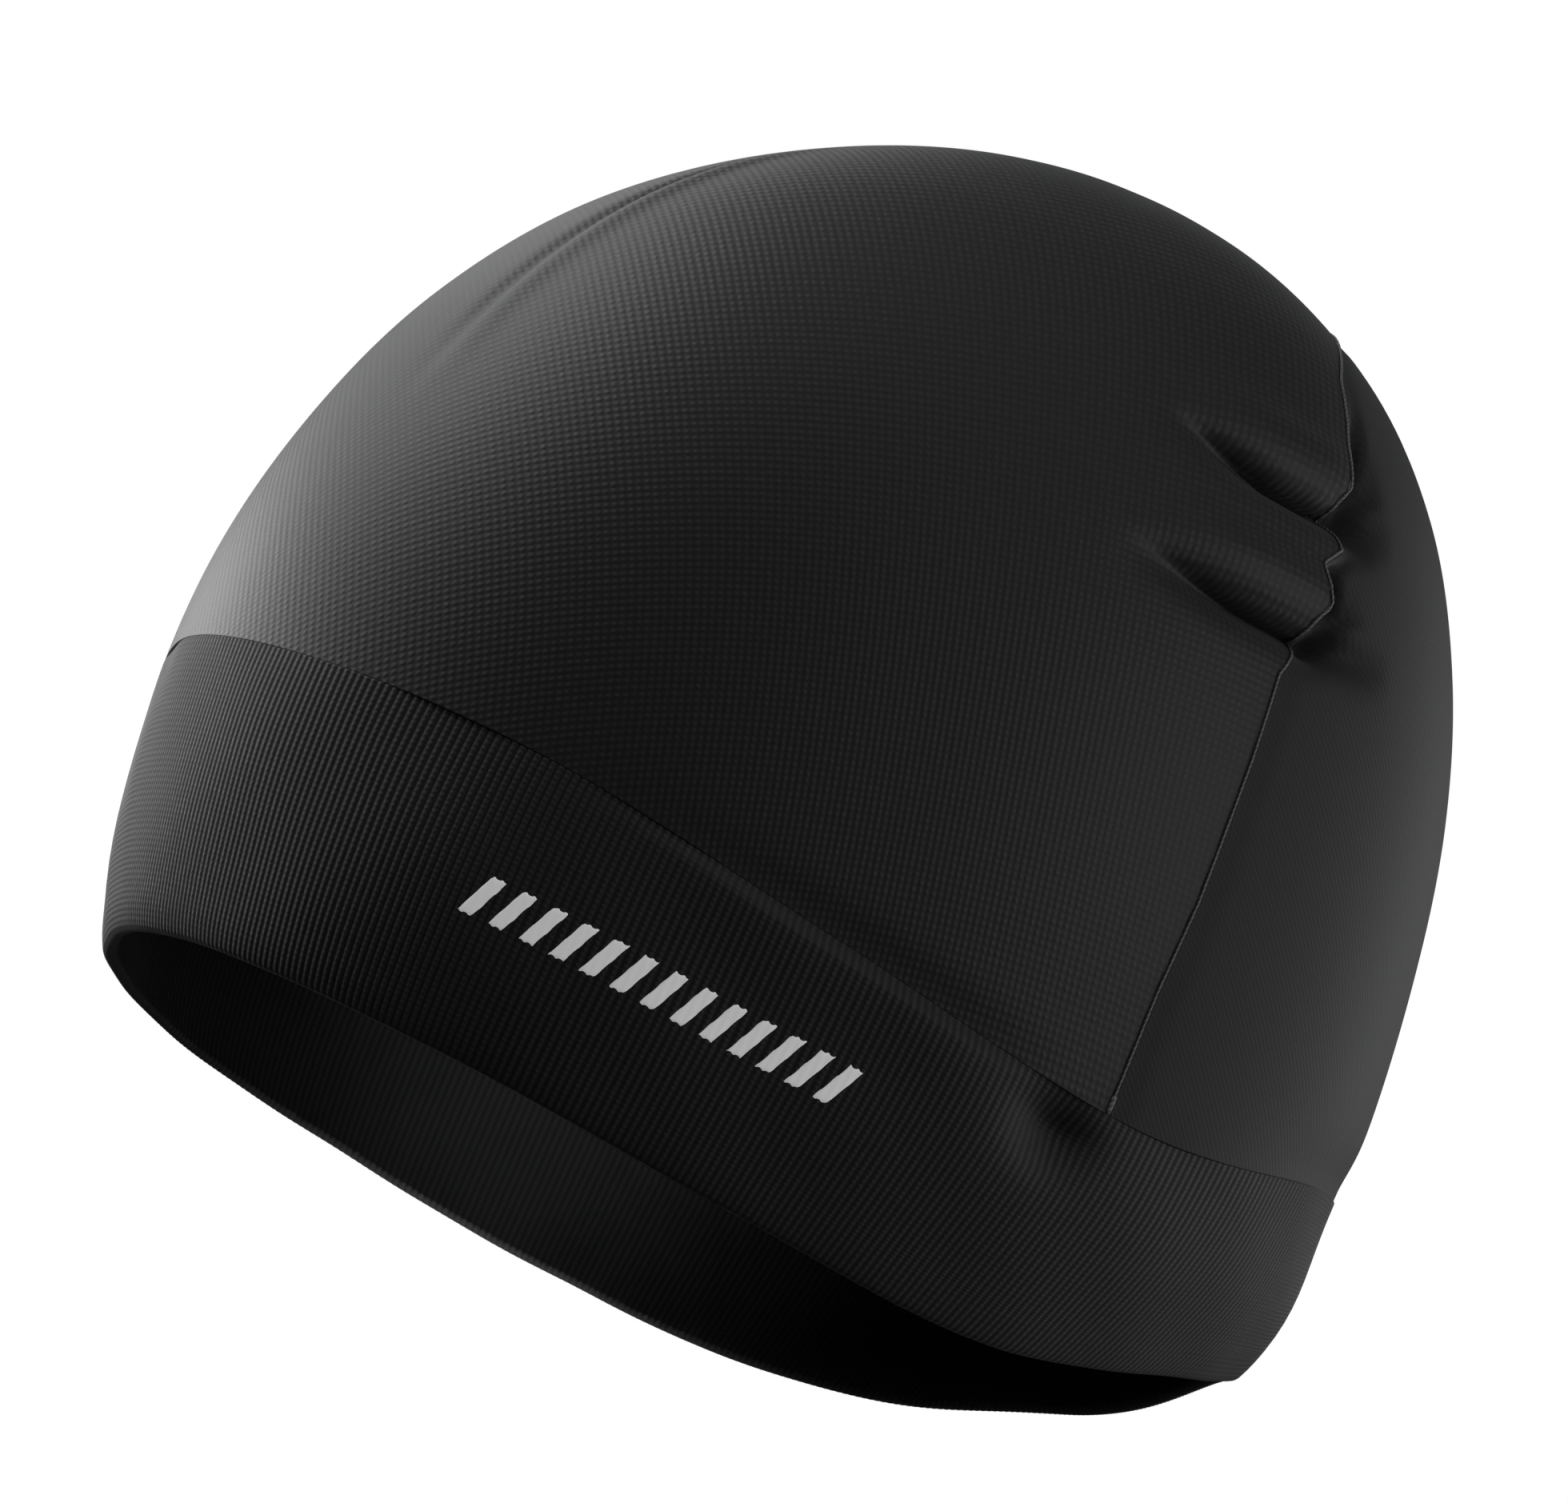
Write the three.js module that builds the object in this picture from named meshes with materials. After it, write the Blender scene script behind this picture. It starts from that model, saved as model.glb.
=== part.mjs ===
// A knitted helmet liner, filled out as it is worn: a crown panel, an arched back panel and a ribbed band.
// Millimetres, +Z up. The front of the cap faces -Y and the wearer's left is at +X.
// Heights are counted from the level near which the rim's front and back corners lie, and azimuths go round
// from the front (0) over the left side (90) to the back (180).
import * as THREE from "three";

// Driving dimensions
const CLOTH = 1.2;
const BAND_WALL = 2.2;
const GAP = 0.3;
const PLAN_POWER = 2.4;

// Level sections of the worn form: how far it reaches forward, back and to each side of the axis.
// They lie about equally far apart along the cloth, and the last one is the top of the crown.
const SECTIONS = [
  { height: -26, front: 87.5, back: 86, side: 69.5 },
  { height: 2, front: 97, back: 99, side: 78.5 },
  { height: 30, front: 101.5, back: 101.5, side: 81.5 },
  { height: 58, front: 101, back: 101, side: 81.5 },
  { height: 84, front: 95, back: 98, side: 79 },
  { height: 108, front: 84.5, back: 91.5, side: 73 },
  { height: 130, front: 68, back: 81, side: 63.5 },
  { height: 148, front: 45, back: 65.5, side: 49.5 },
  { height: 161, front: 17.5, back: 43.5, side: 31 },
  { height: 169, front: -15.5, back: 15.5, side: 0 },
];

// Heights of the rim and of the band's top edge round the head, the same on both sides.
const EDGE_STEP = 30;
const EDGES = [
  { azimuth: 0, rim: -5, bandTop: 41 },
  { azimuth: 30, rim: -7, bandTop: 38.5 },
  { azimuth: 60, rim: -13, bandTop: 32.5 },
  { azimuth: 90, rim: -20, bandTop: 21.5 },
  { azimuth: 120, rim: -23.5, bandTop: 13 },
  { azimuth: 150, rim: -13, bandTop: 20.5 },
  { azimuth: 180, rim: -5.5, bandTop: 24 },
];

// The back seam in the side view: how far behind the axis the crown panel ends at each height.
// Its two beaks are the ends of the pleats.
const BACK_SEAM = [
  { height: 0, reach: 48 },
  { height: 33, reach: 49.5 },
  { height: 48, reach: 51 },
  { height: 92, reach: 52.5 },
  { height: 103, reach: 57.5 },
  { height: 108, reach: 54.5 },
  { height: 114.5, reach: 52 },
  { height: 122.5, reach: 57 },
  { height: 129, reach: 55 },
  { height: 134, reach: 53 },
  { height: 139, reach: 51.5 },
  { height: 169, reach: 52.5 },
];

// Pleats beside the back seam: soft valleys that run forward from it, and the ridges that end in its beaks.
const PLEATS = [
  { height: 92, lift: -1.8, width: 5.5 },
  { height: 103.5, lift: 1.3, width: 5 },
  { height: 115, lift: -1.8, width: 5.5 },
  { height: 126, lift: 1.3, width: 6.5 },
];
const PLEAT_START = 102;
const PLEAT_FULL = 121;
const PLEAT_END = 138;
const BEAK_CLEARANCE = -0.6;

// The crease at the front of the crown, on the wearer's left: a groove with a low lip behind it.
const CREASE = { azimuth: 32, lip: 34.5, low: 86, high: 139, fade: 10, depth: 0.8, rise: 0.3 };

// The ridge along the band's top edge at each side, and the dimple under the end of the back seam.
const RIDGE = { from: 62, to: 112, fade: 12, rise: 0.8 };
const DIMPLE = { azimuth: 113.5, width: 4, depth: 1 };
const BACK_BULGE = { above: 4, width: 4, rise: 0.9 };

// The band's section, from its top edge down the outside, round the folded lower edge and up the inside.
// rise is the share of the band's height, out is counted outward from the worn form, ridge is the ridge's share.
const BAND_SECTION = [
  { rise: 1, out: -0.4, ridge: 0 },
  { rise: 0.97, out: 0, ridge: 0.7 },
  { rise: 0.93, out: 0, ridge: 1 },
  { rise: 0.86, out: 0, ridge: 0.2 },
  { rise: 0.62, out: 0, ridge: 0 },
  { rise: 0.38, out: 0, ridge: 0 },
  { rise: 0.14, out: 0, ridge: 0 },
  { rise: 0.03, out: -0.5, ridge: 0 },
  { rise: 0, out: -1.4, ridge: 0 },
  { rise: 0.03, out: -BAND_WALL, ridge: 0 },
  { rise: 0.14, out: -BAND_WALL, ridge: 0 },
  { rise: 0.38, out: -BAND_WALL, ridge: 0 },
  { rise: 0.62, out: -BAND_WALL, ridge: 0 },
  { rise: 0.86, out: -BAND_WALL, ridge: 0 },
  { rise: 1, out: -BAND_WALL, ridge: 0 },
];
const BAND_STEPS = 80;

// Rows of the two panels: shares of the way from the band up to the first level, then the levels.
// From the last level the seam closes to an arch in ARCH_STEPS rows, and the top levels go all the way round.
const SKIRT_SHARES = [0, 0.15, 0.4, 0.7];
const PANEL_LEVELS = [46, 58, 70, 80, 87, 92, 97.5, 103, 108, 114.5, 118.5, 122.5, 129, 134, 139];
const ARCH_STEPS = 7;
const TOP_LEVELS = [160, 163.5, 166.5, 168.3];

// Columns of one half of the crown panel. Past COLUMN_HINGE they spread to follow the back seam.
const CROWN_COLUMNS = [0, 8, 16, 24, 29.5, 32, 34.5, 42, 50, 58, 66, 74, 81, 87, 92, 97, 101, 105, 109, 113, 118];
const COLUMN_HINGE = 58;
const BACK_COLUMNS = 14;

const DEGREE = Math.PI / 180;
const TOP = SECTIONS[SECTIONS.length - 1];
const mix = (a, b, t) => a + (b - a) * t;
const bell = (x, width) => Math.exp(-((x / width) ** 2));
const ramp = (x, from, to) => THREE.MathUtils.smoothstep(x, from, to);

// Catmull-Rom value of a column between the rows i - 1, i, i + 1 and i + 2 of a list of four numbers.
function spline([before, from, to, after], t) {
  return 0.5 * (2 * from + (to - before) * t + (2 * before - 5 * from + 4 * to - after) * t ** 2 +
    (3 * from - before - 3 * to + after) * t ** 3);
}

// Over the top of the crown the sections go on as their own mirror image, so that the top is round.
function sectionRow(index) {
  if (index < 0) {
    const [first, second] = SECTIONS;
    return Object.fromEntries(Object.keys(first).map((key) => [key, 2 * first[key] - second[key]]));
  }
  if (index < SECTIONS.length) return SECTIONS[index];
  const mirrored = SECTIONS[SECTIONS.length - 2];
  return { height: mirrored.height, front: -mirrored.back, back: -mirrored.front, side: -mirrored.side };
}

function sectionAt(place) {
  const index = Math.min(Math.floor(place), SECTIONS.length - 2);
  const around = [-1, 0, 1, 2].map((step) => sectionRow(index + step));
  const value = (key) => spline(around.map((row) => row[key]), place - index);
  return { height: value("height"), front: value("front"), back: value("back"), side: value("side") };
}

// Finds by halving where a rising function passes zero.
function solve(rising, low, high) {
  for (let step = 0; step < 40; step += 1) {
    const middle = (low + high) / 2;
    if (rising(middle) < 0) low = middle;
    else high = middle;
  }
  return (low + high) / 2;
}

const sectionOf = (height) =>
  sectionAt(solve((place) => sectionAt(place).height - height, 0, SECTIONS.length - 1));

// A point of the worn form.
function formPoint(azimuth, height) {
  const section = sectionOf(height);
  const ahead = Math.cos(azimuth * DEGREE);
  const aside = Math.sin(azimuth * DEGREE);
  const size = (Math.abs(ahead) ** PLAN_POWER + Math.abs(aside) ** PLAN_POWER) ** (-1 / PLAN_POWER);
  const half = (section.front + section.back) / 2;
  const centre = (section.back - section.front) / 2;
  return new THREE.Vector3(section.side * size * aside, centre - half * size * ahead, height);
}

function formNormal(azimuth, height) {
  const turn = 0.5;
  const rise = 0.4;
  const low = Math.min(height, TOP.height - 2 * rise) - rise;
  if (height > TOP.height - rise) return new THREE.Vector3(0, 0, 1);
  const along = formPoint(azimuth + turn, height).sub(formPoint(azimuth - turn, height));
  const up = formPoint(azimuth, low + 2 * rise).sub(formPoint(azimuth, low));
  return along.cross(up).normalize();
}

const raised = (azimuth, height, out) =>
  formPoint(azimuth, height).addScaledVector(formNormal(azimuth, height), out);

// Height of an edge at an azimuth, from the table that both sides share.
function edgeHeight(azimuth, key) {
  const turned = Math.acos(Math.cos(azimuth * DEGREE)) / DEGREE / EDGE_STEP;
  const index = Math.min(Math.floor(turned), EDGES.length - 2);
  const mirror = (i) => EDGES.length - 1 - Math.abs(EDGES.length - 1 - Math.abs(i));
  return spline([-1, 0, 1, 2].map((step) => EDGES[mirror(index + step)][key]), turned - index);
}

function seamReach(height) {
  const index = BACK_SEAM.findIndex((row) => row.height > height);
  if (index < 1) return BACK_SEAM[index < 0 ? BACK_SEAM.length - 1 : 0].reach;
  const [low, high] = [BACK_SEAM[index - 1], BACK_SEAM[index]];
  return mix(low.reach, high.reach, (height - low.height) / (high.height - low.height));
}

// How far the cloth of a panel stands off the worn form.
function pleatLift(azimuth, height, isCrown) {
  const turned = Math.abs(azimuth > 180 ? azimuth - 360 : azimuth);
  const along = ramp(turned, PLEAT_START, PLEAT_FULL) * (1 - ramp(turned, PLEAT_FULL + 2, PLEAT_END));
  const lift = PLEATS.map((pleat) => {
    const height0 = isCrown || pleat.lift < 0 ? pleat.lift : BEAK_CLEARANCE;
    return height0 * bell(height - pleat.height, pleat.width);
  });
  return along * lift.reduce((sum, one) => sum + one, 0);
}

function creaseLift(azimuth, height) {
  const along = ramp(height, CREASE.low - CREASE.fade, CREASE.low + CREASE.fade) *
    (1 - ramp(height, CREASE.high - CREASE.fade, CREASE.high + CREASE.fade));
  const groove = -CREASE.depth * bell(azimuth - CREASE.azimuth, 1.2);
  const lip = CREASE.rise * bell(azimuth - CREASE.lip, 1.5);
  return along * (groove + lip);
}

const crownLift = (azimuth, height) => pleatLift(azimuth, height, true) + creaseLift(azimuth, height);

function backLift(azimuth, height) {
  const above = height - edgeHeight(azimuth, "bandTop");
  const bulge = BACK_BULGE.rise * bell(above - BACK_BULGE.above, BACK_BULGE.width);
  return pleatLift(azimuth, height, false) + bulge * ramp(above, 0, BACK_BULGE.above);
}

// A row of a panel gives the height at an azimuth: it follows the band's top edge at first and is level above it.
// The rows get closer towards the arch's top, where the seam runs level.
function panelRows(arch, topLevels) {
  const edge = (azimuth) => edgeHeight(azimuth, "bandTop") + GAP;
  const skirt = SKIRT_SHARES.map((share) => (azimuth) => mix(edge(azimuth), PANEL_LEVELS[0], share));
  const shoulder = PANEL_LEVELS[PANEL_LEVELS.length - 1];
  const archLevels = Array.from({ length: ARCH_STEPS }, (_, step) =>
    mix(arch, shoulder, (1 - (step + 1) / ARCH_STEPS) ** 2));
  return [...skirt, ...[...PANEL_LEVELS, ...archLevels, ...topLevels].map((level) => () => level)];
}

// The azimuth at which a row meets the back seam, moved back by a margin.
const seamAzimuth = (row, margin) =>
  solve((azimuth) => formPoint(azimuth, row(azimuth)).y - seamReach(row(azimuth)) - margin, 90, 180);

// The height at which the seam, moved back by a margin, crosses the middle of the back.
const archTop = (margin) =>
  solve((height) => seamReach(height) + margin - formPoint(180, height).y, 140, TOP.height);

// Collects triangles and leaves out those that have shrunk to a line.
class Shell {
  corners = [];

  triangle(a, b, c) {
    if (a.distanceTo(b) < 1e-4 || b.distanceTo(c) < 1e-4 || c.distanceTo(a) < 1e-4) return;
    this.corners.push(a, b, c);
  }

  quad(a, b, c, d) {
    this.triangle(a, b, c);
    this.triangle(a, c, d);
  }

  geometry() {
    return new THREE.BufferGeometry().setFromPoints(this.corners);
  }
}

// A panel of cloth from rows of azimuths. Rows that go all the way round have no side edges.
function panelGeometry(rows, azimuthsOf, lift) {
  const shell = new Shell();
  const grid = (depth) => rows.map((row) => azimuthsOf(row).map((azimuth) => {
    const height = row(azimuth);
    return raised(azimuth, height, lift(azimuth, height) - depth);
  }));
  const outer = grid(0);
  const inner = grid(CLOTH);
  const last = outer[0].length - 1;
  const isRing = (r) => outer[r][0].distanceTo(outer[r][last]) < 1e-4;
  for (let c = 0; c < last; c += 1) {
    for (let r = 0; r < rows.length - 1; r += 1) {
      shell.quad(outer[r][c], outer[r][c + 1], outer[r + 1][c + 1], outer[r + 1][c]);
      shell.quad(inner[r][c + 1], inner[r][c], inner[r + 1][c], inner[r + 1][c + 1]);
    }
    shell.quad(outer[0][c], inner[0][c], inner[0][c + 1], outer[0][c + 1]);
  }
  for (let r = 0; r < rows.length - 1; r += 1) {
    if (isRing(r)) continue;
    shell.quad(outer[r][0], outer[r + 1][0], inner[r + 1][0], inner[r][0]);
    shell.quad(outer[r + 1][last], outer[r][last], inner[r][last], inner[r + 1][last]);
  }
  return shell.geometry();
}

function crownGeometry() {
  const arch = archTop(0);
  const rows = panelRows(arch, [...TOP_LEVELS, TOP.height]);
  const halfWidth = CROWN_COLUMNS[CROWN_COLUMNS.length - 1];
  const azimuthsOf = (row) => {
    const edge = row(180) >= arch ? 180 : seamAzimuth(row, 0);
    const spread = (column) => {
      const share = Math.max(0, (column - COLUMN_HINGE) / (halfWidth - COLUMN_HINGE));
      return column + (edge - halfWidth) * share ** 1.5;
    };
    const left = CROWN_COLUMNS.map(spread);
    return [...left.slice(1).reverse().map((azimuth) => -azimuth), ...left];
  };
  return panelGeometry(rows, azimuthsOf, crownLift);
}

function backGeometry() {
  const margin = 1.2 * GAP;
  const arch = archTop(margin);
  const rows = panelRows(arch, []);
  const azimuthsOf = (row) => {
    const edge = row(180) >= arch ? 180 : seamAzimuth(row, margin);
    return Array.from({ length: BACK_COLUMNS + 1 }, (_, c) => mix(edge, 360 - edge, c / BACK_COLUMNS));
  };
  return panelGeometry(rows, azimuthsOf, backLift);
}

function bandGeometry() {
  const shell = new Shell();
  const loops = Array.from({ length: BAND_STEPS + 1 }, (_, step) => {
    const azimuth = (360 * (step % BAND_STEPS)) / BAND_STEPS;
    const turned = Math.min(azimuth, 360 - azimuth);
    const rim = edgeHeight(azimuth, "rim");
    const top = edgeHeight(azimuth, "bandTop");
    const ridge = RIDGE.rise * ramp(turned, RIDGE.from, RIDGE.from + RIDGE.fade) *
      (1 - ramp(turned, RIDGE.to - RIDGE.fade, RIDGE.to));
    const dimple = DIMPLE.depth * bell(turned - DIMPLE.azimuth, DIMPLE.width);
    return BAND_SECTION.map((point) => {
      const out = point.out + (ridge - dimple) * point.ridge;
      return raised(azimuth, mix(rim, top, point.rise), out);
    });
  });
  for (let step = 0; step < BAND_STEPS; step += 1) {
    BAND_SECTION.forEach((_, here) => {
      const next = (here + 1) % BAND_SECTION.length;
      shell.quad(loops[step][here], loops[step][next], loops[step + 1][next], loops[step + 1][here]);
    });
  }
  return shell.geometry();
}

const knit = (color, roughness) => new THREE.MeshStandardMaterial({ color, roughness, metalness: 0 });

function piece(name, geometry, material) {
  const mesh = new THREE.Mesh(geometry, material);
  mesh.name = name;
  return mesh;
}

// The liner is held up at the inside of its crown's top, so the origin is put there.
const worn = new THREE.Group();
worn.position.set(0, -TOP.back, CLOTH - TOP.height);
worn.add(piece("crown_panel", crownGeometry(), knit(0x1e1f20, 0.85)));
worn.add(piece("back_panel", backGeometry(), knit(0x242526, 0.8)));
worn.add(piece("band", bandGeometry(), knit(0x161718, 0.9)));

const liner = new THREE.Group();
liner.add(worn);

export default liner;
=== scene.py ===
"""The looks of a knitted helmet liner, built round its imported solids.

The form is worked out in millimetres and in the head's own heights, as the solids are, and it is put into
the part's frame in metres when a mesh is made. Azimuths go round from the front (0) over the wearer's left
(90) to the back.
"""
import math

import bpy
import numpy as np
from mathutils import Matrix, Vector


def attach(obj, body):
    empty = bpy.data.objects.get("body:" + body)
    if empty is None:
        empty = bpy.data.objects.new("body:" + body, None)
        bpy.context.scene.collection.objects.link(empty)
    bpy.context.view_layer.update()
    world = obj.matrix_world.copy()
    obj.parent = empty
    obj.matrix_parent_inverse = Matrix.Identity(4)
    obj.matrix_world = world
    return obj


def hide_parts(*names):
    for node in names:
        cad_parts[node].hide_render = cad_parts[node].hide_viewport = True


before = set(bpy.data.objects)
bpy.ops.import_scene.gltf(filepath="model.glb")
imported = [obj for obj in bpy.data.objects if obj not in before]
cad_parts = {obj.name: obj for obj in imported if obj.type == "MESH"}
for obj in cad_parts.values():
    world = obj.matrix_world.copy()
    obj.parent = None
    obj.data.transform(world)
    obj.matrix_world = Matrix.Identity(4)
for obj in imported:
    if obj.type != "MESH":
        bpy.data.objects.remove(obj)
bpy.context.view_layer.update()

# A millimetre in the part's frame. The sizes of the form below are in millimetres, its azimuths in degrees.
MM = 0.001

# Thickness of a panel and of the doubled band, the gap between them, and the radius of a panel's lower edge.
CLOTH = 1.2
BAND_WALL = 2.2
JOIN_GAP = 0.03
FOOT_RADIUS = 0.1
# How far the back panel reaches under the crown panel.
SEAM_OVERLAP = 2.0
# The power of the rounded oblong that a level section is: 2 is an ellipse.
PLAN_POWER = 2.4

# Level sections of the worn form: height, reach forward, reach back, reach to each side.
SECTIONS = [
    (-26, 87.5, 86, 69.5),
    (2, 97, 99, 78.5),
    (30, 101.5, 101.5, 81.5),
    (58, 101, 101, 81.5),
    (84, 95, 98, 79),
    (108, 84.5, 91.5, 73),
    (130, 68, 81, 63.5),
    (148, 45, 65.5, 49.5),
    (161, 17.5, 43.5, 31),
    (169, -15.5, 15.5, 0),
]
TOP_HEIGHT = SECTIONS[-1][0]
TOP_BACK = SECTIONS[-1][2]
TOP_PLACE = len(SECTIONS) - 1

# Heights of the rim and of the band's top edge, every 30 degrees from the front to the back.
EDGE_STEP = 30
RIM = [-5, -7, -13, -20, -23.5, -13, -5.5]
BAND_TOP = [41, 38.5, 32.5, 21.5, 13, 20.5, 24]

# The back seam in the side view: height, and how far behind the axis the crown panel ends there.
BACK_SEAM = [
    (0, 48), (33, 49.5), (48, 51), (72, 51.9), (86.3, 52), (90.5, 53.7), (94.5, 55.4), (98, 54.2),
    (99.6, 55), (100.9, 56.7), (102.2, 55.8), (107, 54.2), (110.8, 57), (114.3, 56), (119.2, 53.6),
    (120.8, 53.7), (122.3, 55.3), (124.2, 54.7), (133, 53.3), (141, 51.2), (150, 51.5), (169, 51.5),
]

# Pleats beside the seam: height at the seam, rise of that line towards the front, lift, width.
VALLEYS = [(95.6, 0, -5.6, 2.6), (117.6, 1.5, -5.6, 2.6)]
BEAKS = [(102.2, 0, 1.6, 3.4), (123.8, 1.5, 1.3, 4.2)]
# A valley is this much wider below its line than above it.
VALLEY_FLARE = 1.5
# The cloth over a valley sags down over it: height of that cloth over the valley's line, how far it comes
# down, its half width, and how far from the back panel's own edge this starts to fade and ends.
FOLD = {"over": 2.6, "down": 3.3, "width": 2.3, "fade": 3, "gone": 9}
# Azimuths at which the pleats start, are full, start to fade and end.
PLEAT_START, PLEAT_FULL, PLEAT_FADE, PLEAT_END = 100, 117, 122, 134
# Hollows of the back panel by the beaks: height, half height, lift, distance behind the seam, half width.
POCKETS = [
    (97.2, 4.5, -4.4, 3.8, 2.8), (104, 3.4, -4.0, 2.3, 1.2),
    (119.2, 5.5, -4.4, 3.8, 2.8), (127.5, 5.4, -4.0, 2.3, 1.2),
]

# How the back panel lies at the seam: how far it is let in and how far it is tucked under the crown panel,
# and the distances behind the seam at which it is level, has left the beaks, and starts and ends its way
# down into the pockets.
BACK_EDGE = {
    "let_in": 0.36, "level": 5, "tucked": 0.9,
    "off_beaks": 1.8, "pocket_from": -0.2, "pocket_full": 1.6,
}
# The crease on the forehead: azimuth, half width and depth of its groove, the same of the lip behind it, and
# the heights at which it starts, is full, starts to fade and ends.
CREASE = {
    "azimuth": 32.0, "width": 1.45, "depth": 0.85,
    "lip": 35.0, "lip_width": 1.9, "rise": 0.6,
    "from": 80, "full": 106, "fade": 138, "to": 153,
}
# The ridge under the band's top edge at the side: azimuths at which it starts, is full, starts to fade and
# ends, how far it stands out, its place and its half widths above and below that as shares of the band's
# height, and the groove along the top edge, with its half widths above and below.
RIDGE = {
    "from": 64, "full": 93, "fade": 99, "to": 113,
    "rise": 1.35, "share": 0.93, "half_above": 0.05, "half_below": 0.2,
    "groove": 0.9, "groove_above": 4.0, "groove_below": 1.2,
}
# The dimple behind the ridge: azimuth and half widths ahead and behind, place and half height as shares of
# the band's height, depth.
DIMPLE = {"azimuth": 113.4, "ahead": 3.6, "behind": 3.2, "share": 0.84, "reach": 0.11, "depth": 4.0}
# How the back panel is drawn in just over the band: depth, half height, azimuths where that starts and is
# full.
BACK_DRAW = {"depth": 1.3, "width": 6.5, "from": 125, "full": 150}

# How far the rim hangs below its table all round, and further sags: depth, azimuth, half width. The one at
# the back is the same on both sides, and the far ones are on the wearer's right.
RIM_SAG = 0.4
BACK_SAG = (0.3, 148, 20)
FAR_SAGS = [(3.0, 196, 18), (-1.2, 242, 14)]
# How far the fold at the rim curls in, mostly and at the back, the azimuths from the one to the other, and
# the heights over the rim between which it dies out.
CURL = {"plain": 0.7, "back": 0.4, "from": 110, "full": 150, "low": -2.5, "high": 5.5}
# How the upper part of the band is drawn in at the back: depth, azimuths where it starts and is full, place
# and half height as shares of the band's height.
BACK_TUCK = {"depth": 1.25, "from": 125, "full": 155, "share": 0.8, "width": 0.36}
# Soft waves in the band: depth, turns round the cap, phase in degrees, radians for each millimetre up.
WAVES = [(0.16, 7, 40, 0.09), (0.12, 13, 200, -0.14), (0.08, 23, 80, 0.21)]

# The ribs round the band: number, lean every 30 degrees, columns of the mesh for each, depth of the grooves.
RIBS = 500
RIB_LEAN = [0, 5, 9.2, 5, 4, 6, 0]
RIB_COLUMNS = 4
RIB_DEPTH = 0.18
LOOP_HEIGHT = 0.9

# The net of stitches on the panels: stitches for each radian round its centre, azimuth and elevation of its
# middle on the left side, and how far it is turned there.
KNIT_CELLS = 74
KNIT_CENTRE = np.array([0, 0, 55])
KNIT_MIDDLE = (95, 32)
KNIT_LEAN = math.radians(-10)

# Rows of a panel stand at fixed levels between these two heights, and the first few close to its lower edge.
SKIRT_LEVEL = 46
ARCH_LEVEL = 139
ROW_STEP = 1.15
FOOT_RISES = (0, 0.02, 0.05, 0.1, 0.25)
SKIRT_ROWS = 21
CROWN_ARCH_ROWS = 22
BACK_ARCH_ROWS = 24
# Over the arch the crown panel's rows are rings: the places of the first few, counted from the arch, and how
# many even steps lead from there to the top.
NEAR_ARCH = np.array([0.006, 0.014, 0.024, 0.036])
CROWN_TOP_ROWS = 30
# The crown panel's columns keep their azimuth up to the hinge. From there on they spread, and the last one
# runs along the seam, with some others close before it. They are also dense at the crease.
COLUMN_HINGE = 58
LAST_COLUMN = 118
EDGE_COLUMNS = np.array([0.9, 0.6, 0.4, 0.25, 0.13, 0.05, 0])
CREASE_COLUMNS = {"from": 27.5, "to": 38.5, "step": 0.34}
BACK_COLUMNS = 144
# The crown panel's seam edge is thinned: how much on each side, and over what distance.
EDGE_THINNING = {"outer": 0.3, "outer_reach": 1.1, "inner": 0.8, "inner_reach": 3}

# The line of the seam's thread: how far in from the crown panel's edge and how far off its face, and the
# steps of the rows and of the points along it.
SEAM_LINE = {"inset": 0.35, "out": 0.02, "row_step": 0.6, "arch_rows": 60, "point_step": 0.45}
# Threads: length of a stitch, half width and half height between stitches, how much more in a stitch, sides.
SEAM_THREAD = {"stitch": 2.4, "width": 0.20, "wider": 0.04, "rise": 0.17, "higher": 0.05, "sides": 8}
TACK_THREAD = {"stitch": 0.5, "width": 0.42, "wider": 0.06, "rise": 0.26, "higher": 0.06, "sides": 10}
# A bar tack covers so many points of the seam's line. Its ends taper over a length, to a share of its width.
TACK_POINTS = 8
TACK_TAPER = 0.35
TACK_END = 0.12
# The reflective strip: azimuths of its ends, number of bars, their height over the rim, their height, stroke
# and slant, how far the ink lies over the cloth and in it, and how far it follows the grooves of the ribs.
PRINT = {
    "from": 59.5, "to": 95.5, "bars": 13, "low": 19.8, "tall": 6.7, "stroke": 2.1, "slant": 2.6,
    "film": 0.07, "sunk": 0.12, "into_grooves": 0.6, "mm_per_degree": 1.55,
}
# The colour of the faint sheen of the three knits.
SHEEN_TINT = (0.55, 0.56, 0.58)


def catmull(rows, place):
    """Catmull-Rom values at a place counted from the second row of the list."""
    rows = np.asarray(rows, float)
    place = np.asarray(place, float)
    index = np.clip(np.floor(place).astype(int), 0, len(rows) - 4)
    t = (place - index).reshape(place.shape + (1,) * (rows.ndim - 1))
    a, b, c, d = (rows[index + step] for step in range(4))
    return 0.5 * (2 * b + (c - a) * t + (2 * a - 5 * b + 4 * c - d) * t**2 + (3 * b - a - 3 * c + d) * t**3)


def padded_sections():
    """The sections with a row before them, and a mirror image past the top so that the top is round."""
    rows = np.array(SECTIONS, float)
    height, front, back, side = rows[-2]
    return np.vstack([2 * rows[0] - rows[1], rows, [height, -back, -front, -side]])


PADDED = padded_sections()
PLACES = np.linspace(0, TOP_PLACE, 18001)
PLACE_HEIGHTS = np.maximum.accumulate(catmull(PADDED, PLACES)[:, 0])


def place_of(height):
    return np.interp(height, PLACE_HEIGHTS, PLACES)


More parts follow.
